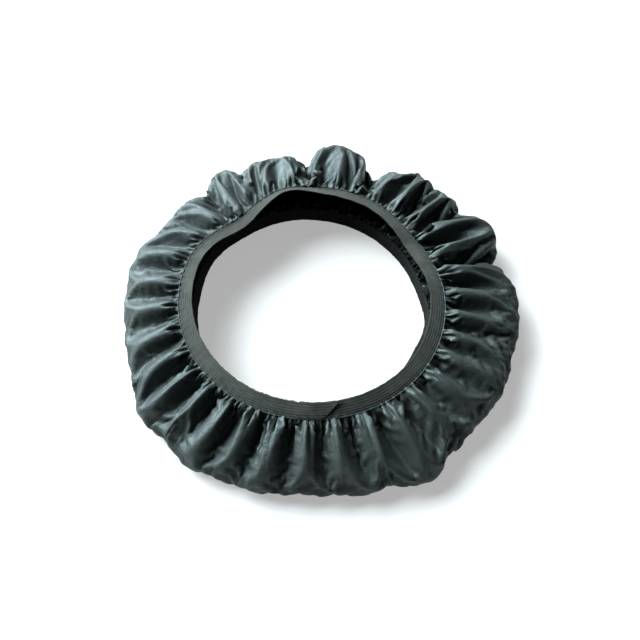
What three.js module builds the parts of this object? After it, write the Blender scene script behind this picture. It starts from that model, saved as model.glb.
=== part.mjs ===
// Spare tyre cover: an elasticated fabric tunnel that wraps the tread of a spare wheel.
//
// One strip of coated cloth is joined end to end into a hoop. Each edge of the hoop is gathered
// and sewn under a ring of 25 mm elastic, so the cover closes round both sidewalls of the tyre.
// It is modelled relaxed, lying flat with its front opening up.
//
// Millimetres, +Z up, z = 0 is the surface that the cover lies on. Every ring is a polar outline
// about one centre line: angle 0 is +X, angles grow towards +Y.
import * as THREE from "three";

// Driving dimensions.
const ELASTIC_WIDTH = 25;
const ELASTIC_THICKNESS = 1.6;
const OVERLAP_LENGTH = 42; // how far the elastic's two ends lie on each other
const OVERLAP_SHIFT = ELASTIC_THICKNESS + 0.4;
const SHELL_THICKNESS = 2.4; // the gathered cloth, folds included
const HEM_GAP = 1.2; // from the elastic's edge to the cloth's middle line
const CLEARANCE = 0.35; // between parts that are sewn face to face
const SPLIT_HEIGHT = 24; // the tread fold, where the front half and the back half meet
const FRONT_SEWN_HEIGHT = 68;
const BACK_TILT = 76; // degrees from flat
const ROLL_RADIUS = 1.1; // the rolled cloth edge beside the elastic
const THREAD = 0.8;
const STITCH_ROWS = [2.6, 6.2]; // distance of each seam line from the elastic's sewn edge
const TACK_LENGTH = 14;
const SEAM_WIDTH = 9;
const SEAM_ANGLE = 141; // degrees, where the strip's ends join
const FRONT_OVERLAP_ANGLE = 268; // degrees, where the front elastic starts
const BACK_OVERLAP_ANGLE = 300;
const COLUMNS = 96; // sections round a full turn
const PUFFS = 12; // soft scallops round the tread fold

const radians = THREE.MathUtils.degToRad;

// A smooth rise of 1 at the angle "at", fading over "width", both in degrees.
function bump(angle, at, width) {
  const away = Math.abs(((angle * 180) / Math.PI - at + 540) % 360 - 180);
  return Math.exp(-((away / width) ** 2));
}

// Outlines of the rings: radius as a function of angle.
const frontSewnRadius = (a) =>
  214 - 11 * bump(a, 32, 22) - 20 * bump(a, 131, 17) + 4 * bump(a, 103, 9) + 5 * bump(a, 320, 35);
const frontTilt = (a) =>
  radians(27 + 16 * bump(a, 100, 14) - 12 * bump(a, 137, 18) - 15 * bump(a, 22, 14) - 9 * bump(a, 330, 28));
const frontSewnHeight = (a) => FRONT_SEWN_HEIGHT + 2.5 * Math.cos(a - radians(250));
const backFreeRadius = (a) =>
  190 + 7 * Math.cos(a - radians(138)) - 4 * bump(a, 50, 45) + 5 * bump(a, 148, 14) + 9 * bump(a, 354, 13);
const treadRadius = (a) =>
  323 + 12 * Math.cos(a) + 5 * Math.sin(a) + 3.5 * Math.cos(2 * a) + 3 * Math.cos(PUFFS * a);

// A point on a section: distance from the centre line, and height.
const point = (r, z) => new THREE.Vector2(r, z);

// The two elastic rings: where their sewn edge is, which way their width runs and which way is out.
const front = {
  sewn: (a) => point(frontSewnRadius(a), frontSewnHeight(a)),
  along: (a) => point(-Math.cos(frontTilt(a)), Math.sin(frontTilt(a))),
  face: (a) => point(Math.sin(frontTilt(a)), Math.cos(frontTilt(a))),
};
const back = {
  sewn: (a) => {
    const tilt = radians(BACK_TILT);
    const width = ELASTIC_WIDTH;
    return point(backFreeRadius(a) + width * Math.cos(tilt), width * Math.sin(tilt));
  },
  along: () => point(-Math.cos(radians(BACK_TILT)), -Math.sin(radians(BACK_TILT))),
  face: () => point(-Math.sin(radians(BACK_TILT)), Math.cos(radians(BACK_TILT))),
};

// A place on a ring's band: "down" its width from the sewn edge, "out" from its back face.
function onBand(ring, a, down, out) {
  return ring.sewn(a).addScaledVector(ring.along(a), down).addScaledVector(ring.face(a), out);
}

// Sweeps a section round the centre line from one angle to another. A full turn closes on itself,
// and anything else gets end caps. section(angle) lists the section's corners anticlockwise in
// (r, z), as many at every angle.
function sweep(section, from, to, columns) {
  const closed = Math.abs(to - from - 2 * Math.PI) < 1e-9;
  const rings = closed ? columns : columns + 1;
  const corners = section(from).length;
  const positions = [];
  const index = [];
  for (let i = 0; i < rings; i++) {
    const a = from + ((to - from) * i) / columns;
    for (const p of section(a)) positions.push(p.x * Math.cos(a), p.x * Math.sin(a), p.y);
  }
  for (let i = 0; i < columns; i++) {
    const here = i * corners;
    const next = ((i + 1) % rings) * corners;
    for (let k = 0; k < corners; k++) {
      const l = (k + 1) % corners;
      index.push(here + k, next + k, next + l, here + k, next + l, here + l);
    }
  }
  if (!closed) {
    const faces = THREE.ShapeUtils.triangulateShape(section(from), []);
    const last = columns * corners;
    for (const [a, b, c] of faces) {
      index.push(a, b, c);
      index.push(last + c, last + b, last + a);
    }
  }
  const geometry = new THREE.BufferGeometry();
  geometry.setAttribute("position", new THREE.Float32BufferAttribute(positions, 3));
  geometry.setIndex(index);
  geometry.computeVertexNormals();
  return geometry;
}

// Thickens a middle line into a closed section, anticlockwise in (r, z).
function thicken(line, thickness) {
  const left = [];
  const right = [];
  line.forEach((p, i) => {
    const before = line[Math.max(i - 1, 0)];
    const after = line[Math.min(i + 1, line.length - 1)];
    const along = after.clone().sub(before).normalize();
    const normal = point(-along.y, along.x).multiplyScalar(thickness / 2);
    left.push(p.clone().add(normal));
    right.push(p.clone().sub(normal));
  });
  return [...right, ...left.reverse()];
}

// The elastic: one strip whose last stretch lies over its first.
function strip(ring, startAngle) {
  const start = radians(startAngle);
  const overlap = OVERLAP_LENGTH / ring.sewn(start).x;
  const end = start + 2 * Math.PI + overlap;
  const lift = (a) => OVERLAP_SHIFT * THREE.MathUtils.smoothstep(a, end - 2 * overlap, end - overlap);
  return { ring, start, end, overlap, lift };
}

function elastic({ ring, start, end, lift }) {
  const section = (a) => [
    onBand(ring, a, 0, lift(a)),
    onBand(ring, a, 0, lift(a) + ELASTIC_THICKNESS),
    onBand(ring, a, ELASTIC_WIDTH, lift(a) + ELASTIC_THICKNESS),
    onBand(ring, a, ELASTIC_WIDTH, lift(a)),
  ];
  return sweep(turned(section), start, end, COLUMNS + 8);
}

// A seam line's thread, on the elastic's face from just past its lower end to its upper end.
function stitchRow({ ring, start, end, overlap, lift }, down) {
  const out = (a) => lift(a) + ELASTIC_THICKNESS + CLEARANCE + THREAD / 2;
  return bead(ring, down, out, THREAD / 2, 4, start + 1.1 * overlap, end - 0.1 * overlap);
}

// Lists a section's corners anticlockwise whichever way they were given.
function turned(section) {
  return (a) => (THREE.ShapeUtils.area(section(a)) < 0 ? section(a).reverse() : section(a));
}

// A bead that follows a band, "out" from its back face: a row of thread, or the rolled cloth edge.
function bead(ring, down, out, radius, sides, from = 0, to = 2 * Math.PI) {
  const section = (a) => {
    const middle = onBand(ring, a, down, out(a));
    return Array.from({ length: sides }, (_, k) => {
      const turn = (2 * Math.PI * (k + 0.5)) / sides;
      return point(middle.x + radius * Math.cos(turn), middle.y + radius * Math.sin(turn));
    });
  };
  return sweep(section, from, to, COLUMNS);
}

// A bar tack: a short raised row of thread across the overlapped ends.
function barTack({ ring, start, overlap }, share) {
  const angle = start + share * overlap;
  const half = THREAD / ring.sewn(angle).x;
  const low = OVERLAP_SHIFT + ELASTIC_THICKNESS + CLEARANCE;
  const top = STITCH_ROWS.at(-1) + 1.5;
  const section = (a) => [
    onBand(ring, a, top, low),
    onBand(ring, a, top, low + THREAD),
    onBand(ring, a, top + TACK_LENGTH, low + THREAD),
    onBand(ring, a, top + TACK_LENGTH, low),
  ];
  return sweep(turned(section), angle - half, angle + half, 1);
}

// Where the gathered cloth ends, edge to edge with a ring's elastic.
function hem(ring, a) {
  return onBand(ring, a, -HEM_GAP, ELASTIC_THICKNESS / 2);
}

// The cloth's middle line on the front half: from the tread fold up and in to the elastic.
function frontCloth(a) {
  const rim = treadRadius(a);
  const sewn = hem(front, a);
  const at = (share, z) => point(sewn.x + (rim - sewn.x) * share, z);
  return [
    point(rim, SPLIT_HEIGHT + CLEARANCE / 2),
    point(rim, SPLIT_HEIGHT + 6),
    at(0.96, 40),
    at(0.84, 49),
    at(0.6, 58),
    at(0.3, 65),
    at(0.1, sewn.y - 1.5),
    sewn,
  ];
}

// The same on the back half: up and over from the back elastic, down to the floor and out to the
// tread fold.
function backCloth(a) {
  const rim = treadRadius(a);
  const flat = SHELL_THICKNESS / 2;
  const sewn = hem(back, a);
  return [
    sewn,
    point(sewn.x + 2, sewn.y + 6),
    point(sewn.x + 8, sewn.y + 8),
    point(sewn.x + 18, sewn.y + 2),
    point(sewn.x + 30, 10),
    point(sewn.x + 44, flat),
    point(rim - 24, flat),
    point(rim - 7, 7),
    point(rim, SPLIT_HEIGHT - 6),
    point(rim, SPLIT_HEIGHT - CLEARANCE / 2),
  ];
}

// The cloth's resting strip is flat: corners on the lowest straight stretch keep z = 0 exactly.
function settle(section) {
  return section.map((p) => (p.y < 0.25 ? point(p.x, 0) : p));
}

function shell(cloth) {
  return sweep((a) => settle(thicken(cloth(a), SHELL_THICKNESS)), 0, 2 * Math.PI, COLUMNS);
}

// The seam allowance on the inside of the tunnel, where the strip's ends are joined.
function crossSeam(cloth, firstPoint, lastPoint) {
  const middle = radians(SEAM_ANGLE);
  const half = SEAM_WIDTH / 2 / treadRadius(middle);
  const section = (a) => {
    const line = cloth(a).slice(firstPoint, lastPoint);
    const inwards = SHELL_THICKNESS / 2 + CLEARANCE + THREAD / 2;
    const shifted = line.map((p, i) => {
      const before = line[Math.max(i - 1, 0)];
      const after = line[Math.min(i + 1, line.length - 1)];
      const along = after.clone().sub(before).normalize();
      return point(p.x - along.y * inwards, p.y + along.x * inwards);
    });
    return thicken(shifted, THREAD);
  };
  return sweep(section, middle - half, middle + half, 2);
}

const cover = new THREE.Group();

const materials = {
  cloth: new THREE.MeshStandardMaterial({ color: 0x3c4546, roughness: 0.42, metalness: 0 }),
  elastic: new THREE.MeshStandardMaterial({ color: 0x2b2e2c, roughness: 0.85, metalness: 0 }),
  thread: new THREE.MeshStandardMaterial({ color: 0x1f2221, roughness: 0.7, metalness: 0 }),
};

function add(name, geometry, material) {
  const mesh = new THREE.Mesh(geometry, material);
  mesh.name = name;
  cover.add(mesh);
}

// The cloth hoop.
add("front_shell", shell(frontCloth), materials.cloth);
add("back_shell", shell(backCloth), materials.cloth);
add("front_cross_seam", crossSeam(frontCloth, 1, 6), materials.cloth);
add("back_cross_seam", crossSeam(backCloth, 5, 9), materials.cloth);

// The two hems: elastic, rolled cloth edge, seam lines and the bar tacks that close the elastic.
const hems = [
  { name: "front", ring: front, start: FRONT_OVERLAP_ANGLE },
  { name: "back", ring: back, start: BACK_OVERLAP_ANGLE },
];
const rollHeight = (ELASTIC_THICKNESS + SHELL_THICKNESS) / 2 + 3 * CLEARANCE + ROLL_RADIUS;
for (const { name, ring, start } of hems) {
  const band = strip(ring, start);
  add(`${name}_elastic`, elastic(band), materials.elastic);
  const roll = bead(ring, -ROLL_RADIUS - CLEARANCE, () => rollHeight, ROLL_RADIUS, 6);
  add(`${name}_hem_roll`, roll, materials.cloth);
  STITCH_ROWS.forEach((down, row) => {
    add(`${name}_stitch_row_${row + 1}`, stitchRow(band, down), materials.thread);
  });
  [0.15, 0.85].forEach((share, side) => {
    add(`${name}_bar_tack_${side + 1}`, barTack(band, share), materials.thread);
  });
}

// The opening is a little off centre in the cloth, so the cover is moved to be centred as a whole.
const middle = new THREE.Box3().setFromObject(cover).getCenter(new THREE.Vector3());
cover.position.set(-middle.x, -middle.y, 0);

export default cover;
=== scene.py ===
# Spare tyre cover: an elasticated cloth ring, relaxed and lying flat with its front opening up.
#
# The cloth is one strip, closed into a hoop and gathered onto two elastics. It starts as smooth
# lobes with folds whose length matches the strip's, and a small cloth solver relaxes it against
# its rest lengths, its stiffness and the floor. Its rounded folds are then turned into creased
# panels, and fine pleats are added beside the front elastic. The elastics, seams, stitches and
# frayed threads are built on the same outlines. Metres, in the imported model's frame.
import math

import bpy
import numpy as np
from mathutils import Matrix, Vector


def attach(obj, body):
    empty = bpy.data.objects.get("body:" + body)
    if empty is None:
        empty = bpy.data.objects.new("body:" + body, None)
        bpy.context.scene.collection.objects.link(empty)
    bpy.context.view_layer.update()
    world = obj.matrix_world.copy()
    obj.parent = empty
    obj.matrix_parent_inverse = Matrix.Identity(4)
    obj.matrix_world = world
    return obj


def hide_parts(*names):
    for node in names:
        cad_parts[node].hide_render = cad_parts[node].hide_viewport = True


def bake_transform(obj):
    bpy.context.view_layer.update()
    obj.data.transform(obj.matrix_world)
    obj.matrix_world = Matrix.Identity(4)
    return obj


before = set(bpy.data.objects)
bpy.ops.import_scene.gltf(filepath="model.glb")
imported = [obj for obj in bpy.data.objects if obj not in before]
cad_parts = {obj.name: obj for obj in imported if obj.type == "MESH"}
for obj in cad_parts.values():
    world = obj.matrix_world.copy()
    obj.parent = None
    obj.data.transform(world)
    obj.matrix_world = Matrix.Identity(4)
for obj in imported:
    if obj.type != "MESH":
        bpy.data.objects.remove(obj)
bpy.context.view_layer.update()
TAU = 2 * math.pi
MM = 0.001

# The rings share one centre line. Angle 0 is +X and angles grow towards +Y.
RING_CENTRE = np.array((-12 * MM, -5 * MM, 0.0))
MEAN_RADIUS = 0.21  # turns an angle into a length along an elastic or a hem
HOLE_RADIUS = 0.19

ELASTIC_WIDTH = 25 * MM
ELASTIC_THICKNESS = 1.6 * MM
ELASTIC_COLUMNS = 900
OVERLAP_LENGTH = 42 * MM
OVERLAP_RISE = 2.0 * MM
RIBS = 6
RIB_POINTS = 6  # across each rib
RIB_RELIEF = 0.3 * MM
CUT_SLANT = 0.15  # radians between the corners of the elastic's last end
BACK_TILT = math.radians(76)

CLOTH_WIDTH = 0.29  # of the flat strip, hem to hem
CLOTH_THICKNESS = 0.4 * MM
SLACK_AROUND, SLACK_ACROSS = 1.01, 1.03
LEAST_RADIUS = 0.322  # of the hoop, where its rim is drawn in
FLOOR_GAP = 0.8 * MM  # the lowest that the cloth lies
SEAM_ANGLE = 141  # degrees
GATHERS = 116  # round each hem
GATHER_ORDERS = (5, 9, 14, 23, 31, 47)  # of the waves that make the gathers uneven
GATHER_WOBBLE = 2.0  # radians of phase
FOLD_SHARPNESS = 0.96  # 0 makes round folds and 1 makes a zigzag
FOLD_SCALE = 1.05  # brings such folds to about the length of round ones

COLUMNS = 1080  # cloth points round the hoop
ROWS = 64  # cloth cells from hem to hem

# The cloth solver. Speeds are metres a step.
STEPS = 1300
WEIGHT = 6e-6
KEPT_SPEED = 0.96
TOP_SPEED = 0.4 * MM
BENDING = 0.0006  # resistance to bending round the ring
ACROSS_BENDING = 0.15  # resistance to bending from hem to hem, as a share of it
SHAPE_EVERY = 5  # steps between two pulls towards the smooth shape
BROAD_PULL, LOBE_PULL = 0.02, 0.03


# ---------------------------------------------------------------- outlines

def bump(angle, at, width, power=2):
    """1 at the angle "at", fading over "width" degrees; a higher power has a flatter top."""
    away = (np.degrees(angle) - at + 540) % 360 - 180
    return np.exp(-np.abs(away / width) ** power)


def ramp(value, start, width):
    """0 up to start, then rising to 1 over the width given."""
    return np.clip((value - start) / width, 0, 1)


class Front:
    """The front elastic: its sewn edge is outside, and its free edge is higher and further in."""

    start = math.radians(268)

    @staticmethod
    def sewn(a):
        r = (214 - 11 * bump(a, 32, 22) - 20 * bump(a, 131, 17) + 4 * bump(a, 103, 9)
             + 5 * bump(a, 320, 35))
        return r * MM, (68 + 2.5 * np.cos(a - math.radians(250))) * MM

    @staticmethod
    def tilt(a):
        steep = (27 + 16 * bump(a, 100, 14) - 12 * bump(a, 137, 18) - 15 * bump(a, 22, 14)
                 - 9 * bump(a, 330, 28))
        return np.radians(steep)

    @classmethod
    def place(cls, a, down, out):
        """(r, z) at "down" the elastic's width from its sewn edge, "out" from its underside."""
        r, z = cls.sewn(a)
        t = cls.tilt(a)
        return r - down * np.cos(t) + out * np.sin(t), z + down * np.sin(t) + out * np.cos(t)


class Back:
    """The back elastic: it stands on its free edge, nearly upright."""

    start = math.radians(300)

    @staticmethod
    def sewn(a):
        free = (190 + 7 * np.cos(a - math.radians(138)) - 4 * bump(a, 50, 45)
                + 5 * bump(a, 148, 14) + 9 * bump(a, 354, 13))
        r = free * MM + ELASTIC_WIDTH * math.cos(BACK_TILT)
        return r, 0 * a + ELASTIC_WIDTH * math.sin(BACK_TILT)

    @classmethod
    def place(cls, a, down, out):
        r, z = cls.sewn(a)
        c, s = math.cos(BACK_TILT), math.sin(BACK_TILT)
        return r - down * c - out * s, z - down * s + out * c


def xyz(a, r, z):
    """Points on the rings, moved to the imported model's frame."""
    return np.stack([r * np.cos(a), r * np.sin(a), z + 0 * a], -1) + RING_CENTRE


def waves(a, seed, orders, size):
    """A smooth closed wobble round the ring, of about the size given."""
    rng = np.random.default_rng(seed)
    total = 0 * a
    for order in orders:
        total = total + rng.uniform(0.5, 1) * np.cos(order * a + rng.uniform(0, TAU))
    return total * size / math.sqrt(len(orders))


def gathers(a, seed):
    """The phase of the gathers round a hem."""
    return GATHERS * a + waves(a, seed, GATHER_ORDERS, GATHER_WOBBLE)


def sharpened(phase):
    """A wave with straighter sides and sharper ridges than a sine."""
    return np.arcsin(FOLD_SHARPNESS * np.sin(phase))


# ---------------------------------------------------------------- cloth: the shape it starts from

# Lobes of the tread fold: angle, half width in degrees, reach past the plain rim in mm.
LOBES = [(81, 12, 21), (57, 8, 2), (49.5, 4.5, 22), (40.5, 6, 22), (25, 9.5, 43), (-3, 18, 37),
         (336, 16, 31), (318, 12, 23), (302, 9, 35), (286, 9, 16), (269, 10, 7), (252, 10, 11),
         (235, 11, 19), (217, 9, 21), (202, 10, 5), (183, 12, 6), (166, 12, 11), (149, 7, -3),
         (137, 6, -5), (124, 7, 11), (105, 11, 5)]
# Valleys between them: angle, half width in degrees, depth in mm.
VALLEYS = [(91.5, 3, 36), (67, 4.5, 30), (46, 2.2, 13), (32.5, 2.8, 18), (14, 2.3, 16),
           (345, 3, 3), (311, 3, 4), (294.5, 2.4, 6), (279, 3, 4), (266, 4, 4), (245, 3, 4),
           (224, 4, 4), (208, 3, 4), (189, 4, 6), (173, 3, 4), (150, 9, 8), (131, 4, 22),
           (117, 3, 10), (104, 7, 7)]


def smooth_cloth(a, shares):
    """The cloth without its small folds: (r, z) at each share of the way from the back hem to the front
    hem, and the section's length. Lobes stand up on the far side and lie down on the near side."""
    far = 0.5 + 0.5 * np.cos(a - math.radians(80))
    far = far * far * (3 - 2 * far)
    fullness = np.max([bump(a, at, w, 4) for at, w, _ in LOBES], 0)
    reach = np.max([g * bump(a, at, w, 4) for at, w, g in LOBES], 0)
    dip = np.sum([d * bump(a, at, w) for at, w, d in VALLEYS], 0)
    rim = 312 - 12 * far + reach - 0.8 * dip
    crest = far * fullness
    back_r, back_z = (v / MM for v in Back.place(a, -0.5 * MM, ELASTIC_THICKNESS / 2))
    front_r, front_z = (v / MM for v in Front.place(a, -0.5 * MM, ELASTIC_THICKNESS / 2))

    def top(share, z):
        return front_r + (rim - front_r) * share, z

    section = [  # in mm: up from the back hem, down to the floor, round the rim and up to the front
        (back_r, back_z), (back_r + 3, back_z + 7), (back_r + 10, back_z + 9),
        (back_r + 20, back_z + 2), (back_r + 32, 10), (back_r + 48, 2), (rim - 28, 2), (rim - 8, 7),
        (rim, 19 + 8 * crest), (rim, 26 + 24 * crest), top(0.94, 40 + 22 * crest - 0.6 * dip),
        top(0.80, 51 + 14 * crest - dip), top(0.55, 61 + 4 * crest - 0.7 * dip),
        top(0.28, 68 - 0.25 * dip), top(0.09, front_z - 0.5), (front_r, front_z)]
    r = np.array([p[0] for p in section])
    z = np.array([p[1] + 0 * a for p in section])
    along = np.vstack([0 * a, np.cumsum(np.hypot(np.diff(r, axis=0), np.diff(z, axis=0)), 0)])
    length = along[-1] * MM
    along /= along[-1]
    out = np.empty((len(shares), len(a), 2))
    for i in range(len(a)):
        out[:, i, 0] = np.interp(shares, along[:, i], r[:, i])
        out[:, i, 1] = np.interp(shares, along[:, i], z[:, i])
    for _ in range(3):  # rounds the section's corners
        out[1:-1] = 0.5 * out[1:-1] + 0.25 * (out[2:] + out[:-2])
    return out * MM, length


def mean_round(values, width):
    """The mean over "width" columns round the ring."""
    half = width // 2
    wide = np.concatenate([values[:, -half:], values, values[:, :half]], 1)
    total = np.cumsum(np.concatenate([np.zeros_like(wide[:, :1]), wide], 1), 1)
    return (total[:, width:] - total[:, :-width]) / width


def columns_in(share):
    """An odd number of columns: about two parts in "share" of the way round the ring."""
    return COLUMNS // share * 2 + 1


# Distances from a hem, in metres: the reach of its gathers, and where the largest folds begin.
CLOSE_REACH = 0.050
LOOSE_FROM, LOOSE_FADE = 0.080, 0.010


def folds(a, section, spacing, from_hem):
    """Adds folds that take up the cloth's spare length: close gathers at the hems, which merge into
    fewer, larger folds further out. spacing is the flat cloth's distance between columns."""
    steepness = np.linspace(0, 4, 200)
    turn = np.linspace(0, TAU, 400, endpoint=False)
    arc = np.sqrt(1 + (steepness[:, None] * np.cos(turn)) ** 2).mean(1)  # a wave's relative length
    points = xyz(a, section[..., 0], section[..., 1])
    gap = np.linalg.norm(np.roll(points, -1, 1) - points, axis=-1)
    spare = np.maximum(1, spacing / mean_round(gap[..., None], 9)[..., 0])
    steep = np.interp(spare, arc, steepness)
    r = section[..., 0]
    # The gathers merge sooner on the left and later on the near side, and unevenly everywhere.
    spread = (1 + 0.8 * waves(a, 21, (6, 10, 15, 22, 29, 38), 0.5) + 1.1 * bump(a, 170, 42, 4)
              - 0.5 * bump(a, 265, 50, 4))
    spread = np.maximum(spread, 0.4)
    reach = from_hem[:, None] * spread
    close = np.exp(-(reach / CLOSE_REACH) ** 2)
    loose = 1 / (1 + np.exp(-(reach - LOOSE_FROM) / LOOSE_FADE))
    between = np.clip(1 - close - loose, 0, 1)
    whole = close + between + loose
    front = np.arange(len(from_hem))[:, None] > len(from_hem) / 2

    def on_each_side(angle, seed, orders, size):
        """Waves that differ between the front half of the strip and its back half."""
        return np.where(front, waves(angle, seed, orders, size),
                        waves(angle, seed + 10, orders, size))

    turned = a + waves(a, 91, (3, 5, 8), 1.0) * from_hem[:, None]  # folds lean left and right
    height = slip = 0
    for share, count, orders, wobble, seed in (
            (close, GATHERS, GATHER_ORDERS, GATHER_WOBBLE, 1),
            (between, 56, (4, 7, 11, 17, 26), 3.0, 2),
            (loose, 23, (3, 5, 8, 13), 3.0, 3)):
        phase = count * turned + on_each_side(turned, seed, orders, wobble)
        uneven = on_each_side(a, seed + 20, (5, 8, 13, 19, 27), 0.45)
        size = np.clip(1 + uneven, 0.3, 2) * steep * r / count * np.sqrt(share / whole)
        height = height + size * sharpened(phase) / FOLD_SCALE
        slip = slip - 0.3 * size * np.cos(phase)
    at_hem = np.where(front, 0.6, 0.12)  # the back gathers lie flat against their elastic
    held = at_hem + (1.1 - at_hem) * ramp(from_hem, 0, 6 * MM)[:, None]
    run = np.gradient(section, axis=0)
    run /= np.linalg.norm(run, axis=-1, keepdims=True)
    outward = np.stack([run[..., 1], -run[..., 0]], -1)
    moved = section + outward * (held * height)[..., None]
    return xyz(a + slip / r, moved[..., 0], moved[..., 1])


# ---------------------------------------------------------------- cloth: the solver

def pull(one, two, rest, strength):
    """Moves two sets of points towards their rest distance and returns how far the first set went."""
    gap = two - one
    length = np.sqrt(np.einsum("ijk,ijk->ij", gap, gap))[..., None]
    return gap * (strength * 0.5 * (length - rest) / length)


def relax(points, goal, around, across, shaped):
    """Relaxes the cloth: rest lengths around, across and on both diagonals, resistance to bending, a
    little weight, and the floor. Averages over a few centimetres are drawn to the smooth shape, so the
    lobes stay where they are, and the two hems are held by their elastics."""
    p = points.astype(np.float32)
    velocity = np.zeros_like(p)
    hems = p[0].copy(), p[-1].copy()
    wide, narrow = columns_in(50), columns_in(110)
    goal = goal.astype(np.float32)
    goal, fine_goal = mean_round(goal, wide), mean_round(goal, narrow)
    shaped = shaped.astype(np.float32)[..., None]
    around = around.astype(np.float32)[None, :, None]
    across = across.astype(np.float32)[..., None]
    slanted = np.sqrt(around ** 2 + across ** 2)
    slanted_back = np.sqrt(np.roll(around, 1, 1) ** 2 + across ** 2)
    # The cloth is stiffer on the left, where its folds are large, and softer on the near side.
    a = np.linspace(0, TAU, COLUMNS, endpoint=False)
    bend = BENDING - 0.0003 * bump(a, 265, 60, 4) + 0.0012 * bump(a, 170, 45, 4)
    bend = bend.astype(np.float32)[None, :, None]
    for step in range(STEPS):
        before = p.copy()
        p += velocity
        p[..., 2] -= WEIGHT
        curve = np.roll(p, 1, 1) + np.roll(p, -1, 1) - 2 * p
        p -= bend * (np.roll(curve, 1, 1) + np.roll(curve, -1, 1) - 2 * curve)
        curve = np.zeros_like(p)
        curve[1:-1] = p[2:] + p[:-2] - 2 * p[1:-1]
        p[1:-1] -= ACROSS_BENDING * bend * (curve[2:] + curve[:-2] - 2 * curve[1:-1])
        for first in (0, 1):
            low, high = p[first:-1:2], p[first + 1::2]
            low = low[:len(high)]
            rest = across[first::2][:len(high)]
            move = pull(low, high, rest, 1)
            low += move
            high -= move
            for turn, rest in ((-1, slanted), (1, slanted_back)):
                move = pull(low, np.roll(high, turn, 1), rest[first::2][:len(high)], 0.5)
                low += move
                high -= np.roll(move, -turn, 1)
        left, right = p[:, 0::2], p[:, 1::2]
        move = pull(left, right, around[:, 0::2], 1)
        left += move
        right -= move
        move = pull(right, np.roll(left, -1, 1), around[:, 1::2], 1)
        right += move
        left -= np.roll(move, 1, 1)
        if step % SHAPE_EVERY == 0:
            broad, fine = goal - mean_round(p, wide), fine_goal - mean_round(p, narrow)
            p += BROAD_PULL * broad + LOBE_PULL * shaped * fine
        np.maximum(p[..., 2], FLOOR_GAP, out=p[..., 2])
        p[0], p[-1] = hems
        velocity = np.clip(KEPT_SPEED * (p - before), -TOP_SPEED, TOP_SPEED)
    return p.astype(float)


# Creasing: rounds of evening out normals, how far apart two normals may be, and rounds of moving.
CREASE_ROUNDS = 30
CREASE_TOLERANCE = 0.35
CREASE_MOVES = 25
LARGEST_CHANGE = 3 * MM


def cell_normals(p):
    """The middle and the unit normal of each cell of the cloth's grid."""
    right = np.roll(p, -1, 1)
    middle = 0.25 * (p[:-1] + p[1:] + right[:-1] + right[1:])
    normal = np.cross(right[1:] - p[:-1], p[1:] - right[:-1])
    return middle, normal / np.linalg.norm(normal, axis=-1, keepdims=True)


def crease(p):
    """Turns rounded folds into flat panels with crisp creases, as coated cloth has them: evens out the
    normals of neighbouring cells unless they differ much, and moves the points to suit."""
    _, normal = cell_normals(p)
    for _ in range(CREASE_ROUNDS):
        padded = np.concatenate([normal[:1], normal, normal[-1:]])
        total = 0.5 * normal
        for up in (0, 1, 2):
            for turn in (-1, 0, 1):
                other = np.roll(padded[up:up + len(normal)], turn, 1)
                apart = ((other - normal) ** 2).sum(-1, keepdims=True)
                total = total + other * np.exp(-apart / CREASE_TOLERANCE ** 2)
        normal = total / np.linalg.norm(total, axis=-1, keepdims=True)
    start, p = p, p.copy()
    for _ in range(CREASE_MOVES):
        middle, _ = cell_normals(p)
        move = np.zeros_like(p)
        for up in (0, 1):
            for turn in (0, 1):
                n, m = np.roll(normal, turn, 1), np.roll(middle, turn, 1)
                corner = p[up:len(p) - 1 + up]
                move[up:len(p) - 1 + up] += n * ((m - corner) * n).sum(-1, keepdims=True)
        p[1:-1] += 0.25 * move[1:-1]
    change = p - start
    size = np.linalg.norm(change, axis=-1, keepdims=True)
    change *= np.minimum(1, LARGEST_CHANGE / np.maximum(size, 1e-9))
    for _ in range(2):  # keeps neighbouring points from parting
        change = mean_round(change, 3)
        change[1:-1] = (change[1:-1] + change[2:] + change[:-2]) / 3
    return start + change


def pleats(p, a, shares, from_hem):
    """How far the fine pleats beside the front elastic move each point. They are deepest and longest
    on the near side."""
    near = bump(a, 262, 62, 4)
    flat = mean_round(p, columns_in(240))
    outward = np.cross(np.roll(flat, -1, 1) - np.roll(flat, 1, 1), np.gradient(flat, axis=0))
    outward /= np.linalg.norm(outward, axis=-1, keepdims=True)
    pleat = sharpened(gathers(a, 1)) / FOLD_SCALE
    reach = (24 + 24 * near) * MM * (1 + 0.5 * waves(a, 71, (12, 19, 27, 38, 53), 0.7))
    fading = np.exp(-(from_hem[:, None] / reach) ** 2) * (shares > 0.5)[:, None]
    return outward * (MM * (0.7 + 1.3 * near) * pleat * fading)[..., None]


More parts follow.
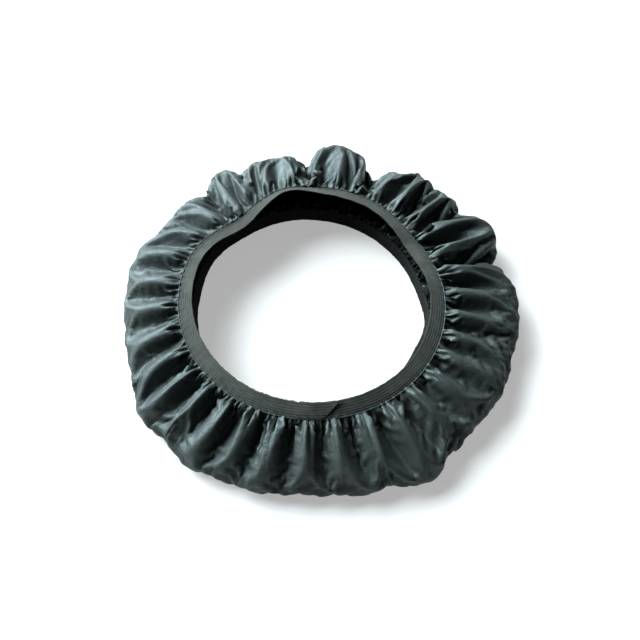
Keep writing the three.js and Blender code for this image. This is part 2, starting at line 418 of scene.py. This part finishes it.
def make_cloth_points():
    """The cloth's points, row by row from the back hem, and the flat strip's length and width."""
    a = np.linspace(0, TAU, COLUMNS, endpoint=False)
    even = np.linspace(0, 1, ROWS + 1)
    shares = even - 0.45 * np.sin(TAU * even) / TAU  # rows are closer near the hems
    section, length = smooth_cloth(a, shares)
    goal = xyz(a, section[..., 0], section[..., 1])
    gap = np.linalg.norm(np.roll(goal, -1, 1) - goal, axis=-1)
    widest = np.max(gap[int(0.3 * ROWS):int(0.8 * ROWS)], 0)
    # The flat strip is as long at its hems as in its middle, and a little larger than the smooth shape.
    around = mean_round(widest[None, :, None], 9)[0, :, 0] * SLACK_AROUND
    around = np.maximum(around, TAU * LEAST_RADIUS / COLUMNS)
    length = mean_round(length[None, :, None], 31)[0, :, 0][None]
    across = np.diff(shares)[:, None] * length * SLACK_ACROSS
    from_hem = np.minimum(shares, 1 - shares) * CLOTH_WIDTH
    start = folds(a, section, around, from_hem)
    uneven = np.random.default_rng(4).normal(0, 0.2 * MM, start.shape)
    start += uneven * (from_hem > 0)[:, None, None]
    far = bump(a, 62, 92, 4)
    lobes_held = np.exp(-((shares[:, None] - 0.60) / (0.09 + 0.08 * far)) ** 4)
    p = relax(start, goal, around, across, lobes_held * (0.12 + 0.88 * far))
    p += ramp(from_hem, 8 * MM, 20 * MM)[:, None, None] * (crease(p) - p)
    free = ramp(from_hem, 4 * MM, 10 * MM)[:, None, None]  # the hems stay where they are
    p += free * pleats(p, a, shares, from_hem)
    deeper = (0.35 - 0.30 * bump(a, 150, 75, 4))[None, :, None]
    for weight, share in ((deeper, 90), (0.25, 216), (0.25, 540)):  # sharpens the folds
        p += free * weight * (p - mean_round(p, columns_in(share)))
    np.maximum(p[..., 2], FLOOR_GAP, out=p[..., 2])
    return p, around.sum(), across.sum(0).mean()


# ---------------------------------------------------------------- meshes

def new_mesh(name, points, faces, smooth=True):
    """An object made of points and faces."""
    mesh = bpy.data.meshes.new(name)
    mesh.from_pydata(np.asarray(points).reshape(-1, 3).tolist(), [], faces)
    mesh.validate()
    mesh.polygons.foreach_set("use_smooth", [smooth] * len(mesh.polygons))
    obj = bpy.data.objects.new(name, mesh)
    bpy.context.scene.collection.objects.link(obj)
    return obj


def grid_faces(rows, columns, close_rows=False, close_columns=False):
    """Faces of a grid of points numbered row by row."""
    index = np.arange(rows * columns).reshape(rows, columns)
    if close_rows:
        index = np.vstack([index, index[:1]])
    if close_columns:
        index = np.hstack([index, index[:, :1]])
    corners = [index[:-1, :-1], index[:-1, 1:], index[1:, 1:], index[1:, :-1]]
    return np.stack(corners, -1).reshape(-1, 4).tolist()


def set_uv(obj, u, v):
    """Stores a point's place on its flat cloth, in metres, as the UV map."""
    corners = np.empty(len(obj.data.loops), int)
    obj.data.loops.foreach_get("vertex_index", corners)
    layer = obj.data.uv_layers.new(name="flat")
    layer.data.foreach_set("uv", np.stack([u[corners], v[corners]], -1).ravel().astype(np.float32))


def thicken(obj, thickness, **settings):
    """Gives a sheet its thickness."""
    solid = obj.modifiers.new("thickness", "SOLIDIFY")
    solid.thickness = thickness
    for key, value in settings.items():
        setattr(solid, key, value)
    bpy.context.view_layer.objects.active = obj
    with bpy.context.temp_override(object=obj, active_object=obj, selected_objects=[obj]):
        bpy.ops.object.modifier_apply(modifier=solid.name)


# ---------------------------------------------------------------- materials

WEAVE = 0.55 * MM, 0.62 * MM  # pitch of the warp and of the weft
KNIT_PITCH = 0.9 * MM


class Nodes:
    """A short way to write a node tree."""

    def __init__(self, name):
        self.material = bpy.data.materials.new(name)
        self.material.use_nodes = True
        self.tree = self.material.node_tree
        self.tree.nodes.clear()
        self.shader = self.add("ShaderNodeBsdfPrincipled")
        output = self.add("ShaderNodeOutputMaterial")
        self.link(self.shader.outputs["BSDF"], output.inputs["Surface"])

    def add(self, kind, **settings):
        """A node, with its properties and its sockets' values."""
        node = self.tree.nodes.new(kind)
        for key, value in settings.items():
            if hasattr(node, key):
                setattr(node, key, value)
            else:
                self.put(node.inputs[key.replace("_", " ").title()], value)
        return node

    def link(self, a, b):
        self.tree.links.new(a, b)

    def put(self, socket, value):
        if isinstance(value, bpy.types.NodeSocket):
            self.link(value, socket)
        else:
            socket.default_value = value

    def math(self, operation, one, two=0.0):
        node = self.add("ShaderNodeMath", operation=operation)
        self.put(node.inputs[0], one)
        self.put(node.inputs[1], two)
        return node.outputs[0]

    def times(self, one, two):
        return self.math("MULTIPLY", one, two)

    def mix(self, share, one, two):
        node = self.add("ShaderNodeMix", data_type="RGBA")
        self.put(node.inputs["Factor"], share)
        self.put(node.inputs["A"], one)
        self.put(node.inputs["B"], two)
        return node.outputs["Result"]

    def remap(self, value, low, high, to_low, to_high):
        node = self.add("ShaderNodeMapRange")
        for socket, v in zip(node.inputs, (value, low, high, to_low, to_high)):
            self.put(socket, v)
        return node.outputs["Result"]

    def noise(self, where, scale, detail=3.0, roughness=0.5):
        node = self.add("ShaderNodeTexNoise", scale=scale, detail=detail, roughness=roughness)
        self.link(where, node.inputs["Vector"])
        return node.outputs["Fac"]

    def bumped(self, height, distance, strength=1.0, normal=None):
        node = self.add("ShaderNodeBump", distance=distance, strength=strength)
        self.link(height, node.inputs["Height"])
        if normal:
            self.link(normal, node.inputs["Normal"])
        return node.outputs["Normal"]

    def places(self):
        """A point's place on its flat cloth, as a vector and as two lengths, and its place in 3-D."""
        flat = self.add("ShaderNodeUVMap", uv_map="flat").outputs["UV"]
        split = self.add("ShaderNodeSeparateXYZ")
        self.link(flat, split.inputs[0])
        solid = self.add("ShaderNodeTexCoord").outputs["Object"]
        return flat, split.outputs[0], split.outputs[1], solid

    def set(self, **values):
        """Values of the shader's sockets."""
        for key, value in values.items():
            self.put(self.shader.inputs[key.replace("_", " ").title()], value)


def threads(nodes, across, pitch):
    """Rounded parallel threads, 0 in the gaps and 1 on top, from a coordinate in metres."""
    return nodes.math("ABSOLUTE", nodes.math("SINE", nodes.times(across, math.pi / pitch)))


def toned(tint, factor, added=0.0):
    """A darker or lighter version of a colour, with its alpha."""
    return tuple(c * factor + added for c in tint) + (1,)


def cloth_material(name, tint, rough, shine):
    """Coated plain-weave polyester: fine weave with painted shade in its gaps, soft creases, worn and
    dusty patches.
    """
    n = Nodes(name)
    flat, along, across, place = n.places()
    weave = n.times(threads(n, along, WEAVE[0]), threads(n, across, WEAVE[1]))
    broad = n.noise(place, 9.0, 2.0)
    middle = n.noise(place, 42.0, 4.0, 0.55)
    fine = n.noise(flat, 900.0, 2.0)
    crinkle = n.noise(place, 130.0, 4.0, 0.6)

    # Small creases run along the edges of bent cells.
    cells = n.add("ShaderNodeTexVoronoi", feature="DISTANCE_TO_EDGE", scale=55.0)
    bent = n.add("ShaderNodeMixRGB", blend_type="ADD")
    bent.inputs[0].default_value = 0.05
    n.link(place, bent.inputs[1])
    n.link(n.add("ShaderNodeTexNoise", scale=26.0, detail=3.0).outputs["Color"], bent.inputs[2])
    n.link(bent.outputs[0], cells.inputs["Vector"])
    creased = n.times(n.remap(cells.outputs["Distance"], 0.0, 0.12, 0.0, 1.0), middle)

    colour = n.mix(n.remap(broad, 0.3, 0.7, 0.0, 1.0), toned(tint, 0.72), toned(tint, 1.30))
    dust = n.times(n.remap(middle, 0.48, 0.75, 0.0, 1.0), 0.35)
    colour = n.mix(dust, colour, toned(tint, 1.7, 0.004))
    # Darker between the threads: this is painted shade in the weave's gaps.
    gaps = n.times(n.math("SUBTRACT", 1.0, weave), 0.25)
    colour = n.mix(gaps, colour, toned(tint, 0.4))

    normal = n.bumped(creased, 1.0 * MM, 0.5)
    normal = n.bumped(middle, 0.8 * MM, 0.30, normal)
    normal = n.bumped(crinkle, 0.35 * MM, 0.35, normal)
    normal = n.bumped(n.math("ADD", weave, n.times(fine, 0.6)), 0.05 * MM, 0.8, normal)
    n.set(Base_Color=colour, Normal=normal,
          Roughness=n.remap(middle, 0.3, 0.7, rough - 0.05, rough + 0.09),
          Sheen_Weight=0.03, Sheen_Roughness=0.4, Sheen_Tint=(0.75, 0.86, 0.9, 1))
    n.put(n.shader.inputs["Specular IOR Level"], shine)
    n.put(n.shader.inputs["Specular Tint"], (0.76, 0.96, 1.0, 1))
    return n.material


def elastic_material(name, tint, shine):
    """Ribbed knitted elastic: matte, with knit loops along each rib, painted shade in the grooves
    between ribs, and worn streaks.
    """
    n = Nodes(name)
    flat, along, across, place = n.places()
    ribs = threads(n, across, ELASTIC_WIDTH / RIBS)
    loops = threads(n, n.math("ADD", along, n.times(across, 0.4)), KNIT_PITCH)
    fuzz = n.noise(flat, 1400.0, 3.0, 0.6)
    worn = n.noise(place, 34.0, 4.0, 0.6)
    stretched = n.add("ShaderNodeCombineXYZ")
    n.link(n.times(along, 60.0), stretched.inputs[0])
    n.link(n.times(across, 620.0), stretched.inputs[1])
    streaks = n.noise(stretched.outputs[0], 1.0, 3.0, 0.6)
    # Darker in the grooves between the ribs, which is painted shade. The streaks along the ribs are
    # wear.
    shade = n.times(n.remap(ribs, 0.1, 0.7, 0.45, 1.0), n.remap(streaks, 0.3, 0.7, 0.45, 1.5))
    colour = n.mix(shade, toned(tint, 0.15), toned(tint, 1.9))
    faded = n.remap(n.times(fuzz, worn), 0.22, 0.42, 0.0, 0.6)
    colour = n.mix(faded, colour, toned(tint, 3.4))
    height = n.math("ADD", n.times(loops, 0.6), n.math("ADD", fuzz, streaks))
    n.set(Base_Color=colour, Roughness=n.remap(fuzz, 0.3, 0.7, 0.75, 0.95),
          Normal=n.bumped(height, 0.22 * MM, 0.9), Sheen_Weight=0.25 * shine, Sheen_Roughness=0.6)
    n.put(n.shader.inputs["Specular IOR Level"], 0.8 * shine)
    return n.material


def thread_material(name, tint):
    """Twisted sewing thread."""
    n = Nodes(name)
    place = n.add("ShaderNodeTexCoord").outputs["Object"]
    twist = n.noise(place, 2600.0, 2.0)
    worn = n.noise(place, 60.0, 2.0)
    colour = n.mix(n.remap(worn, 0.3, 0.7, 0.0, 1.0), toned(tint, 0.7), toned(tint, 1.4))
    n.set(Base_Color=colour, Roughness=n.remap(twist, 0.3, 0.7, 0.5, 0.75),
          Normal=n.bumped(twist, 0.08 * MM, 0.8), Sheen_Weight=0.1)
    n.put(n.shader.inputs["Specular IOR Level"], 0.2)
    return n.material


CLOTH = cloth_material("coated_cloth", (0.0186, 0.0216, 0.0195), 0.51, 0.44)
# A near-black copy of the cloth, used for its inner faces, its seam allowance and the back rolled edge.
# This is painted shade for the dark inside of the ring.
CLOTH_IN_PAINTED_SHADE = cloth_material("cloth_in_painted_shade", (0.0035, 0.0042, 0.0040), 0.8, 0.15)
ELASTIC = elastic_material("elastic_webbing", (0.0225, 0.0244, 0.0223), 0.08)
# The back elastic's copy is far darker than the front's. This is painted shade, because the back elastic
# stands in shadow inside the ring.
SHADED_ELASTIC = elastic_material("elastic_webbing_painted_shade", (0.0032, 0.0034, 0.0031), 0.06)
THREAD = thread_material("sewing_thread", (0.009, 0.010, 0.010))


# ---------------------------------------------------------------- pieces

def build_cloth():
    """The cover's cloth, one sheet whose inner faces get a near-black copy of the cloth's colour as
    painted shade. Also its points and the flat strip's size.
    """
    points, hoop, strip = make_cloth_points()
    rows, columns = points.shape[:2]
    cloth = new_mesh("cover_cloth", points, grid_faces(rows, columns, close_columns=True))
    u = np.tile(np.arange(columns) / columns * hoop, rows)
    v = np.repeat(np.arange(rows) / (rows - 1) * strip, columns)
    set_uv(cloth, u, v)
    cloth.data.materials.append(CLOTH)
    cloth.data.materials.append(CLOTH_IN_PAINTED_SHADE)
    thicken(cloth, CLOTH_THICKNESS, offset=-1, material_offset=1, material_offset_rim=1)
    return cloth, points, hoop, strip


def strip_end(ring):
    """The angle covered by an elastic's overlap, and the angle of its last end."""
    overlap = OVERLAP_LENGTH / ring.sewn(np.array(ring.start))[0]
    return overlap, ring.start + TAU + overlap


def strip_angle(ring, share, width_share):
    """The angle along an elastic, 0 to 1 from its first end to its last. The last end is cut aslant."""
    _, end = strip_end(ring)
    angle = ring.start + share * (end - ring.start)
    return angle + ramp(share, 0.94, 0.06) * (width_share - 0.5) * CUT_SLANT


def strip_rise(ring, angle):
    """How far the last stretch of an elastic lies above the first. Its cut end curls up a little."""
    overlap, end = strip_end(ring)
    t = ramp(angle, end - 2 * overlap, overlap)
    curled = np.clip((angle - end) / 0.08 + 0.6, 0, 2)
    return OVERLAP_RISE * t * t * (3 - 2 * t) + 0.6 * MM * curled ** 2


def build_elastic(name, ring, seed):
    """A ribbed strip with its last stretch over its first."""
    face = np.linspace(0, 1, RIBS * RIB_POINTS + 1)
    under = np.linspace(1, 0, 9)[1:-1]
    width = np.concatenate([face, [1.0], under, [0.0]])
    rib = np.abs(np.sin(math.pi * RIBS * face)) ** 0.7
    edge = [0.15 * MM]
    out = np.concatenate([ELASTIC_THICKNESS - RIB_RELIEF + RIB_RELIEF * rib, edge, 0 * under, edge])
    share = np.linspace(0, 1, ELASTIC_COLUMNS + 1)[:, None]
    angle = strip_angle(ring, share, width[None])
    wavy = (waves(angle, seed, (9, 17, 26, 41), 0.45 * MM) * width
            + waves(angle, seed + 1, (3, 5, 8), 0.5 * MM) * width)
    puckered = 0.25 * MM * np.sin(108 * angle) * (1 - width) ** 2
    out = out + strip_rise(ring, angle) + wavy + puckered
    r, z = ring.place(angle, width * ELASTIC_WIDTH, out)
    worn_edge = 1 + 1.5 * bump(angle, 255, 32)
    ragged = (np.random.default_rng(seed).normal(0, 0.16 * MM, (ELASTIC_COLUMNS + 1, 1))
              + waves(angle, seed + 2, (37, 61, 97, 151), 0.28 * MM))
    r = r + ragged * worn_edge * ramp(width, 0.93, 0.05)
    z = np.maximum(z, 0.4 * MM)
    points = xyz(angle, r, z)
    faces = grid_faces(ELASTIC_COLUMNS + 1, len(width), close_columns=True)
    last = ELASTIC_COLUMNS * len(width)
    faces += [list(range(len(width)))[::-1], list(range(last, last + len(width)))]
    elastic = new_mesh(name, points, faces)
    u = np.repeat(share[:, 0] * TAU * MEAN_RADIUS, len(width))
    set_uv(elastic, u, np.tile(width * ELASTIC_WIDTH, ELASTIC_COLUMNS + 1))
    # The back elastic gets the darker copy of its material, as painted shade.
    elastic.data.materials.append(ELASTIC if ring is Front else SHADED_ELASTIC)
    return elastic


def tube_along(centres, radius, sides, closed=False):
    """Points and faces of a thin tube along a line of points."""
    centres = np.asarray(centres)
    if closed:
        run = np.roll(centres, -1, 0) - np.roll(centres, 1, 0)
    else:
        run = np.gradient(centres, axis=0)
    run /= np.linalg.norm(run, axis=1, keepdims=True)
    side = np.cross(run, (0, 0, 1.0))
    side /= np.maximum(np.linalg.norm(side, axis=1, keepdims=True), 1e-9)
    up = np.cross(side, run)
    turn = (np.arange(sides) / sides * TAU)[None, :, None]
    radius = np.broadcast_to(radius, (len(centres),))[:, None, None]
    ring = centres[:, None] + radius * (np.cos(turn) * side[:, None] + np.sin(turn) * up[:, None])
    faces = grid_faces(len(centres), sides, close_rows=closed, close_columns=True)
    if not closed:
        last = (len(centres) - 1) * sides
        faces += [list(range(sides))[::-1], list(range(last, last + sides))]
    return ring.reshape(-1, 3), faces


def many_tubes(name, lines, radii, material, sides=5):
    """One object made of many thin tubes."""
    points, faces, base = [], [], 0
    for line, radius in zip(lines, radii):
        p, f = tube_along(line, radius, sides)
        points.append(p)
        faces += [[i + base for i in face] for face in f]
        base += len(p)
    obj = new_mesh(name, np.vstack(points), faces)
    obj.data.materials.append(material)
    return obj


def build_roll(name, ring, seed):
    """The rolled edge of the cloth beside an elastic, puckered where the gathers are sewn down."""
    sides = 8
    a = np.linspace(0, TAU, 2160, endpoint=False)
    pucker = 0.18 * np.sin(gathers(a, seed)) + waves(a, seed + 3, (61, 83, 131), 0.10)
    down = -1.2 * MM + 0.25 * MM * pucker
    r, z = ring.place(a, down, ELASTIC_THICKNESS + (0.35 + 0.35 * pucker) * MM)
    p, f = tube_along(xyz(a, r, z), (1.05 + 0.25 * pucker) * MM, sides, closed=True)
    roll = new_mesh(name, p, f)
    set_uv(roll, np.repeat(a * MEAN_RADIUS, sides), np.tile(np.arange(sides) * 0.8 * MM, len(a)))
    # The back rolled edge lies in shadow, so it gets the near-black cloth as painted shade.
    roll.data.materials.append(CLOTH if ring is Front else CLOTH_IN_PAINTED_SHADE)
    return roll


def build_stitches(name, ring, down, seed):
    """A row of lock stitches on an elastic, "down" mm from its sewn edge."""
    rng = np.random.default_rng(seed)
    overlap, end = strip_end(ring)
    pitch = 3.4 * MM / ring.sewn(np.array(0.0))[0]
    arch = np.array([-0.35, 0.15, 0.3, 0.3, 0.15, -0.35]) * MM
    lines, radii = [], []
    for middle in np.arange(ring.start + 1.15 * overlap, end - 0.1 * overlap, pitch):
        a = middle + np.linspace(-0.42, 0.42, len(arch)) * pitch
        drift = rng.normal(0, 0.08 * MM)
        out = ELASTIC_THICKNESS + strip_rise(ring, a) + arch
        lines.append(xyz(a, *ring.place(a, down * MM + drift, out)))
        radii.append(0.24 * MM)
    return many_tubes(name, lines, radii, THREAD)


def build_tack(name, ring, share, seed):
    """A bar tack: close zigzag thread across the overlap, at a share of the overlap's length."""
    overlap, _ = strip_end(ring)
    middle = ring.start + share * overlap
    half = 1.3 * MM / ring.sewn(np.array(middle))[0]
    count = 46
    down = np.linspace(4, 21, count) * MM
    swing = np.where(np.arange(count) % 2, 1, -1) + np.random.default_rng(seed).normal(0, 0.1, count)
    a = middle + half * swing + (down / ELASTIC_WIDTH - 0.5) * CUT_SLANT * share
    r, z = ring.place(a, down, ELASTIC_THICKNESS + strip_rise(ring, a) + 0.1 * MM)
    return many_tubes(name, [xyz(a, r, z)], [0.26 * MM], THREAD)


def build_fray(name, ring, count, seed):
    """Loose fibres along an elastic's free edge."""
    rng = np.random.default_rng(seed)
    lines, radii = [], []
    t = np.linspace(0, 1, 4)
    for _ in range(count):
        root = rng.uniform(0, TAU)
        on_near_side = math.radians(225) < root < math.radians(285)  # the most worn
        long = rng.uniform(0.6, 2.4) * MM * (1.6 if on_near_side else 0.8)
        lean = rng.uniform(-1, 1) * 0.9
        a = root + lean * long * t ** 1.3 / HOLE_RADIUS
        down = ELASTIC_WIDTH - 0.4 * MM + long * t * (1 - 0.3 * t)
        out = ELASTIC_THICKNESS * rng.uniform(0.2, 1) + rng.normal(0, 0.3 * MM) * t ** 2
        r, z = ring.place(a, down, out)
        lines.append(xyz(a, r, np.maximum(z, 0.2 * MM)))
        radii.append(rng.uniform(0.06, 0.12) * MM)
    return many_tubes(name, lines, radii, ELASTIC, 3)


def build_seam(points):
    """The seam that closes the strip into a hoop: a narrow allowance inside the cloth."""
    columns = points.shape[1]
    middle = int(round(SEAM_ANGLE / 360 * columns))
    across = np.arange(-3, 4)
    rows = points[3:-3]  # it ends short of the hems
    patch = rows[:, (middle + across) % columns]
    du = rows[:, (middle + 1) % columns] - rows[:, (middle - 1) % columns]
    dv = np.gradient(rows[:, middle], axis=0)
    normal = np.cross(du, dv)
    normal /= np.linalg.norm(normal, axis=1, keepdims=True)
    inner = patch - normal[:, None] * (CLOTH_THICKNESS + 0.5 * MM)
    allowance = new_mesh("cross_seam", inner, grid_faces(len(inner), len(across)))
    u, v = across * 2.0 * MM, np.arange(len(inner)) * 4 * MM
    set_uv(allowance, np.tile(u, len(inner)), np.repeat(v, len(across)))
    # The allowance gets the near-black cloth as painted shade.
    allowance.data.materials.append(CLOTH_IN_PAINTED_SHADE)
    thicken(allowance, 0.5 * MM)
    return allowance


cloth, points, hoop, strip = build_cloth()
allowance = build_seam(points)

on_cloth = [allowance]
for side, ring, seed, roll_seed, fibres in (("front", Front, 5, 1, 900), ("back", Back, 50, 11, 500)):
    body = side + "_hem"
    elastic = build_elastic(side + "_elastic_webbing", ring, seed)
    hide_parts(side + "_elastic")
    roll = build_roll(side + "_rolled_edge", ring, roll_seed)
    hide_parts(side + "_hem_roll")
    fray = build_fray(side + "_fray", ring, fibres, seed + 2)
    parts = [elastic, roll, fray]
    for row, down in enumerate((2.6, 6.2), 1):
        stitches = build_stitches(f"{side}_stitches_{row}", ring, down, seed + 10 + row)
        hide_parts(f"{side}_stitch_row_{row}")
        parts.append(stitches)
    for tack, share in enumerate((0.15, 0.85), 1):
        piece = build_tack(f"{side}_tack_{tack}", ring, share, seed + 20 + tack)
        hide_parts(f"{side}_bar_tack_{tack}")
        parts.append(piece)
    for piece in parts:
        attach(piece, body)
    on_cloth += parts

for piece in (cloth, allowance):
    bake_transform(piece)
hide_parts("front_shell", "back_shell")
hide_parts("front_cross_seam", "back_cross_seam")

# ---------------------------------------------------------------- floor, camera and light

FLOOR_HALF = 9
corners = [(FLOOR_HALF * x, FLOOR_HALF * y, 0) for x, y in ((-1, -1), (1, -1), (1, 1), (-1, 1))]
floor = new_mesh("floor", corners, [[0, 1, 2, 3]], smooth=False)
# The floor glows a little, so that the cloth's shadow stays as light as in the photo.
paper = Nodes("pale_floor")
spot = paper.noise(paper.add("ShaderNodeTexCoord").outputs["Object"], 40.0, 3.0)
paper.set(Base_Color=paper.mix(spot, (0.39, 0.39, 0.39, 1), (0.41, 0.41, 0.41, 1)), Roughness=0.9,
          Emission_Color=(0.97, 0.97, 0.97, 1), Emission_Strength=0.42)
floor.data.materials.append(paper.material)

scene = bpy.context.scene
scene.view_settings.view_transform = "Standard"
world = bpy.data.worlds.new("studio")
scene.world = world
world.use_nodes = True
sky = world.node_tree
background = sky.nodes["Background"]
height = sky.nodes.new("ShaderNodeSeparateXYZ")
fade = sky.nodes.new("ShaderNodeMapRange")  # a pale backdrop low down, dim overhead
fade.interpolation_type = "SMOOTHSTEP"
sky.links.new(sky.nodes.new("ShaderNodeTexCoord").outputs["Generated"], height.inputs[0])
sky.links.new(height.outputs["Z"], fade.inputs["Value"])
sky.links.new(fade.outputs["Result"], background.inputs["Strength"])
SKY = (0.02, 0.28, 0.40, 0.02)  # the two heights of the fade and the strengths below and above it
for socket, value in zip(fade.inputs[1:5], SKY):
    socket.default_value = value
background.inputs["Color"].default_value = (1.0, 1.0, 0.98, 1)


def soft_light(name, place, spread, power, colour):
    """Even light from one direction, as soft as a window that covers "spread" degrees of the sky."""
    data = bpy.data.lights.new(name, "SUN")
    data.angle = math.radians(spread)
    data.energy = power
    data.color = colour
    obj = bpy.data.objects.new(name, data)
    obj.location = place
    obj.rotation_euler = Vector(place).to_track_quat("Z", "Y").to_euler()
    scene.collection.objects.link(obj)


DAYLIGHT = (0.86, 0.97, 1.0)
soft_light("window", (-1.35, 0.92, 0.98), 40, 9.8, DAYLIGHT)
soft_light("high_window", (-1.05, 1.2, 1.35), 36, 3.6, DAYLIGHT)
soft_light("far_window", (-0.70, 1.58, 0.70), 44, 3.4, DAYLIGHT)
soft_light("fill", (1.3, 0.9, 1.3), 30, 0.15, (0.95, 1.0, 1.0))

TARGET = Vector((1.7 * MM, -32.5 * MM, 30 * MM))
CAMERA_DISTANCE = 1.30
CAMERA_ELEVATION = math.radians(62.9)
camera_data = bpy.data.cameras.new("camera")
camera_data.sensor_width = 36
camera_data.lens = 44.2
camera = bpy.data.objects.new("camera", camera_data)
scene.collection.objects.link(camera)
scene.camera = camera
sight = Vector((0, -math.cos(CAMERA_ELEVATION), math.sin(CAMERA_ELEVATION)))
camera.location = TARGET + CAMERA_DISTANCE * sight
camera.rotation_euler = (TARGET - camera.location).to_track_quat("-Z", "Y").to_euler()
